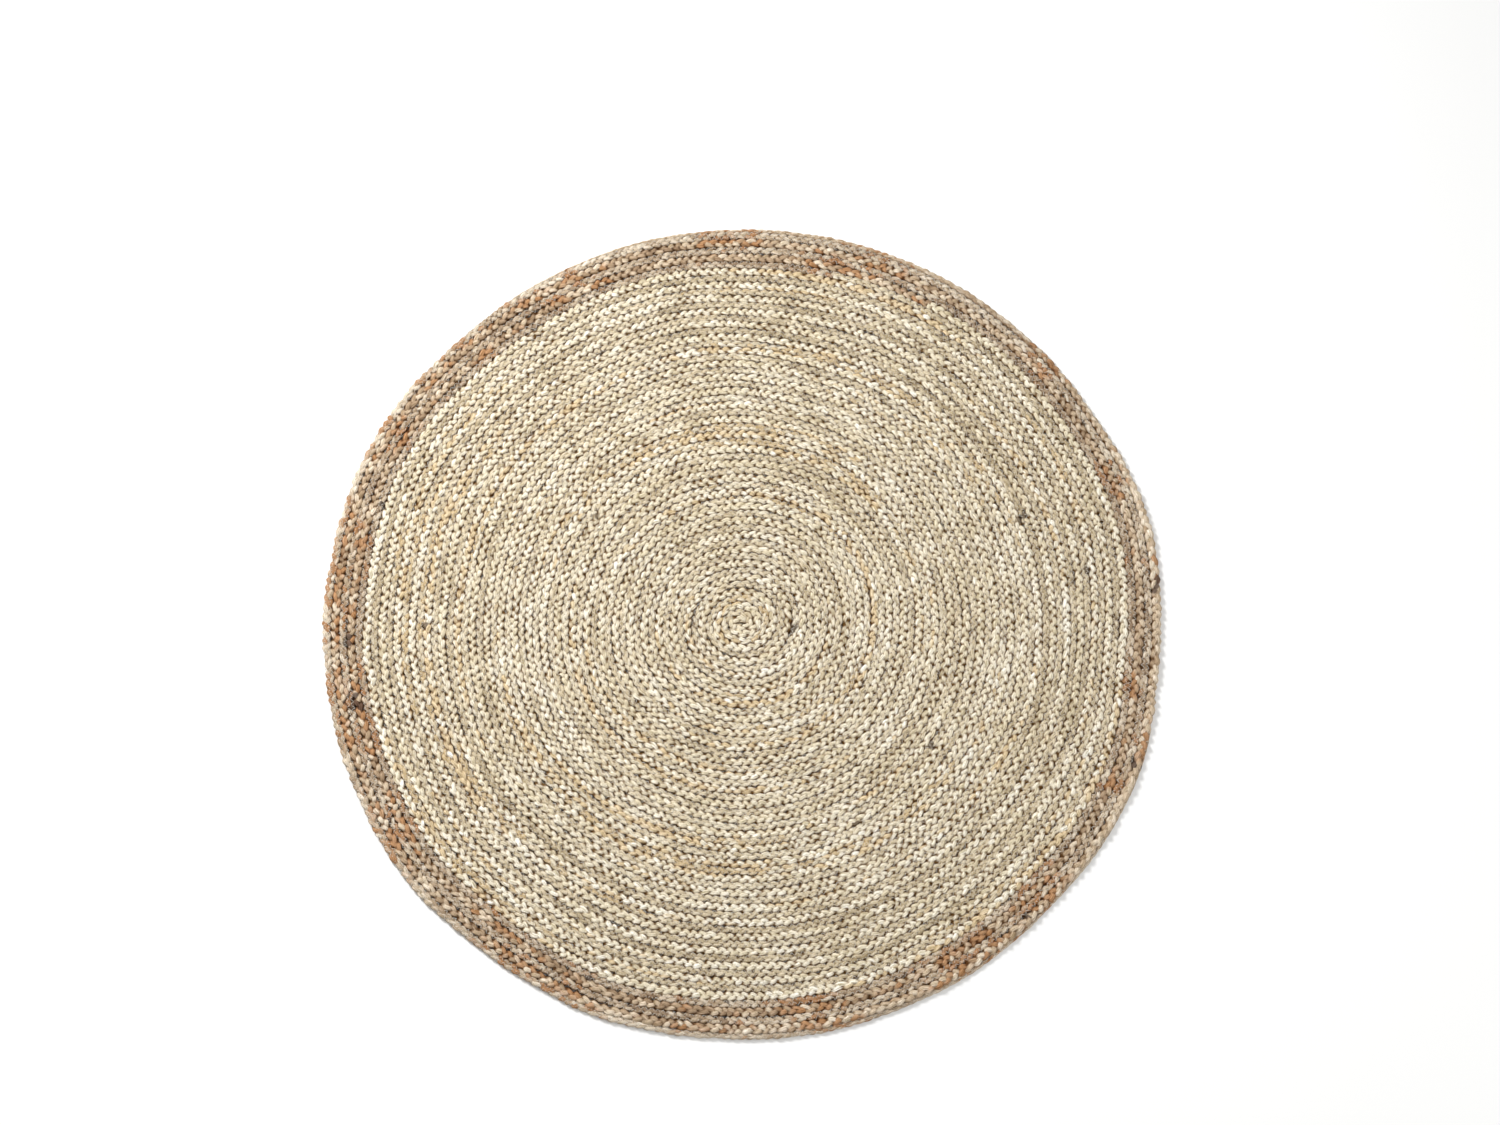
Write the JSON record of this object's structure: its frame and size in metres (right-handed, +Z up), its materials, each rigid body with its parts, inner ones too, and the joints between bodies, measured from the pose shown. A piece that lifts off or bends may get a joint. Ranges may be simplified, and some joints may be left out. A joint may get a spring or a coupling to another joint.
{
  "type": "area rug",
  "caption": "Round flat jute rug of narrow plaits coiled side by side and zigzag-stitched together, pale field with a brown border.",
  "frame": {"origin": "middle of the rug's underside, on the floor", "axes": "+Z up, out of the rug's upper face; +X to the right and +Y away, as seen by someone standing at the rug's near edge; the coil winds anticlockwise outwards seen from above, its raised border braid ending at 135 degrees from +X and its stitched one at 345 degrees"},
  "size_m": [1.1966, 1.2008, 0.008],
  "materials": {
    "cream_jute": "plaited natural jute, matte",
    "sand_jute": "plaited natural jute, matte",
    "brown_jute": "plaited dyed jute with rust flecks, matte",
    "dull_brown_jute": "plaited dyed jute, matte",
    "sewing_thread": "spun thread, slight sheen"
  },
  "bodies": {
    "root": {"cream_raised_braid": "cream_jute", "sand_stitched_braid": "sand_jute", "brown_raised_border_braid": "brown_jute", "brown_stitched_border_braid": "dull_brown_jute", "needle_thread": "sewing_thread", "bobbin_thread": "sewing_thread"}
  },
  "joints": []
}
